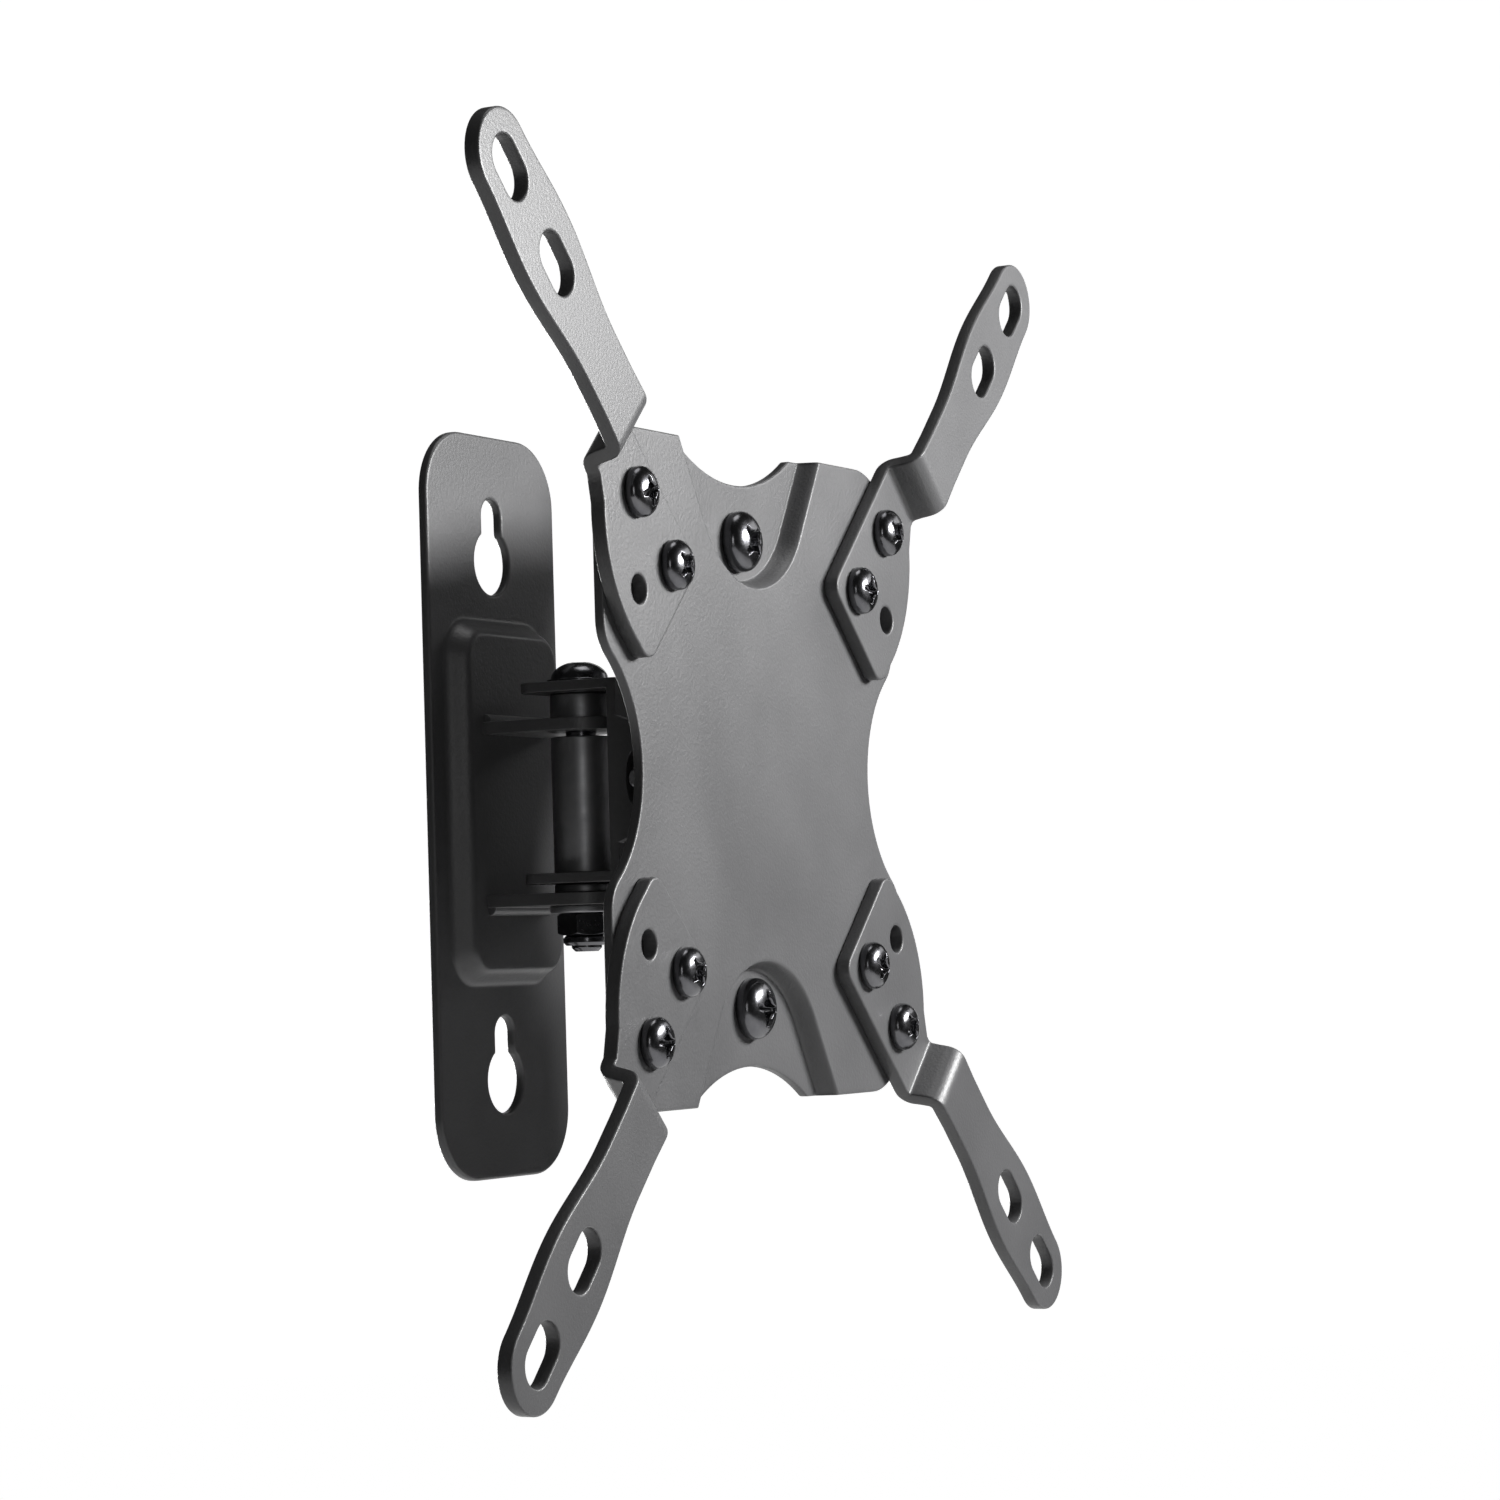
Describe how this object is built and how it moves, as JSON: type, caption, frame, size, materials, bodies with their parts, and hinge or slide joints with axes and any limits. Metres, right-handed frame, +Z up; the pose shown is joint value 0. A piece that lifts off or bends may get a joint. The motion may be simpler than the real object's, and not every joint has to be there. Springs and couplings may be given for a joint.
{
  "type": "full motion TV wall mount",
  "caption": "Small tilting and swivelling TV wall mount: keyhole wall plate, pivot bracket, butterfly TV plate and bolted-on arms, in black steel.",
  "frame": {"origin": "on the wall face, midway between the centres of the two keyhole entry holes", "axes": "+X to the right, seen from in front of the television; +Y into the wall; +Z up"},
  "size_m": [0.2224, 0.0708, 0.2224],
  "materials": {
    "black_powder_coat": "satin, fine texture",
    "black_oxide_steel": "smooth satin",
    "black_nickel": "glossy black nickel plating",
    "black_nylon": "matte"
  },
  "bodies": {
    "wall_side": {"wall_plate": "black_powder_coat", "wall_bracket": "black_powder_coat", "pivot_bolt": "black_nickel", "upper_bush": "black_oxide_steel", "spacer_washer": "black_oxide_steel", "pivot_washer": "black_nickel", "pivot_lock_nut": "black_nickel", "pivot_nut_ring": "black_nylon"},
    "swivel_side": {"swivel_bracket": "black_powder_coat", "pivot_sleeve": "black_oxide_steel", "tilt_bolt": "black_nickel", "tilt_washers": "black_nickel", "friction_washers": "black_nylon", "tilt_lock_nut": "black_nickel", "tilt_nut_ring": "black_nylon"},
    "tv_side": {"tilt_spacer": "black_oxide_steel", "tilt_bracket": "black_powder_coat", "tilt_guide_pin": "black_nickel", "tv_plate": "black_powder_coat", "plate_screw_upper": "black_nickel", "plate_screw_lower": "black_nickel", "plate_nuts": "black_nickel", "arm_top_left": "black_powder_coat", "arm_top_right": "black_powder_coat", "arm_bottom_left": "black_powder_coat", "arm_bottom_right": "black_powder_coat", "arm_screws_top_left": "black_nickel", "arm_screws_top_right": "black_nickel", "arm_screws_bottom_left": "black_nickel", "arm_screws_bottom_right": "black_nickel", "arm_nuts_top_left": "black_nickel", "arm_nuts_top_right": "black_nickel", "arm_nuts_bottom_left": "black_nickel", "arm_nuts_bottom_right": "black_nickel"}
  },
  "joints": [
    {"name": "swivel", "type": "hinge", "parent": "wall_side", "child": "swivel_side", "pos_m": [0, -0.0214, 0.0008], "axis": [0, 0, 1], "range_deg": [-30, 30]},
    {"name": "tilt", "type": "hinge", "parent": "swivel_side", "child": "tv_side", "pos_m": [0, -0.0504, 0.0065], "axis": [1, 0, 0], "range_deg": [-20, 20]}
  ]
}
